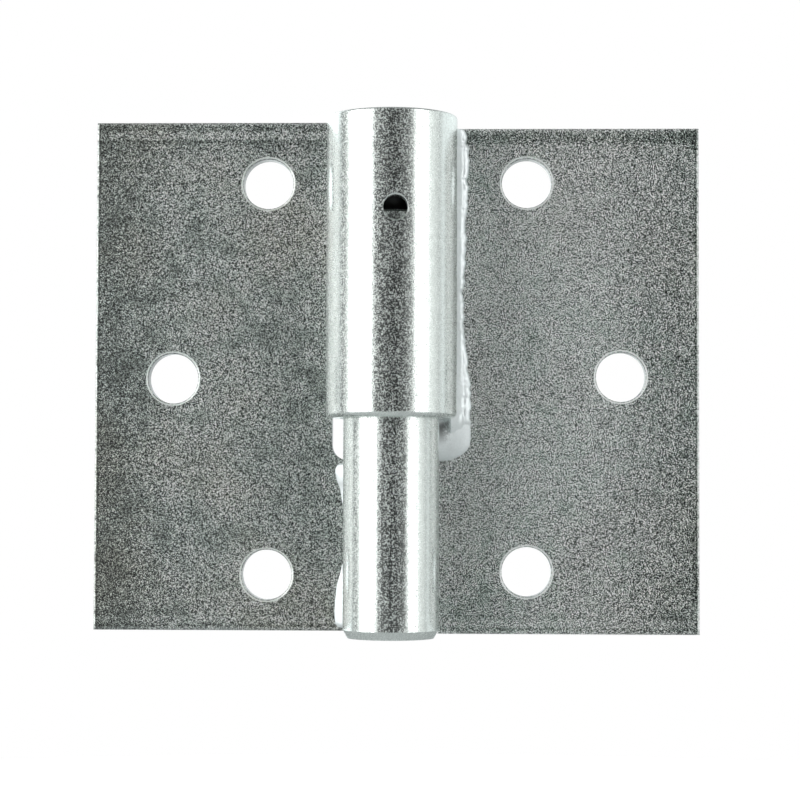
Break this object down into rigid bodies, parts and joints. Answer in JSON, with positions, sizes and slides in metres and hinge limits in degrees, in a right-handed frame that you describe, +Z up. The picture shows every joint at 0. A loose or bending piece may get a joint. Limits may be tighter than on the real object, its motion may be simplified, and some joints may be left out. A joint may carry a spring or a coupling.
{
  "type": "lift-off gate hinge with two screw-on plates",
  "caption": "Lift-off gate hinge: a round pin on one notched steel plate turns inside a tube welded to the other, with screw holes in both plates.",
  "frame": {"origin": "centre of the whole hinge's box; the pin's axis is 0.988 mm to -X of it", "axes": "+Z up along the pin, +X towards the tube's plate, -Y to the front, where the tube and pin stand out of the plates"},
  "size_m": [0.126, 0.027, 0.107],
  "materials": {
    "plate_steel": "zinc plated, dull mottled grey",
    "bar_steel": "zinc plated, bright",
    "ball_steel": "polished",
    "weld_metal": "weld bead under zinc plating"
  },
  "bodies": {
    "pin_leaf": {"pin_plate": "plate_steel", "pin": "bar_steel", "pin_weld_upper": "weld_metal", "pin_weld_lower": "weld_metal"},
    "ball": {"thrust_ball": "ball_steel"},
    "cup_leaf": {"cup_plate": "plate_steel", "cup_tube": "bar_steel", "top_plug": "bar_steel", "cup_weld": "weld_metal"}
  },
  "joints": [
    {"name": "lift_off", "type": "slide", "parent": "pin_leaf", "child": "ball", "axis": [0, 0, 1], "range_m": [0, 0.046]},
    {"name": "leaf_turn", "type": "hinge", "parent": "ball", "child": "cup_leaf", "pos_m": [-0.00099, 0, 0], "axis": [0, 0, 1], "range_deg": [-180, 85]}
  ]
}
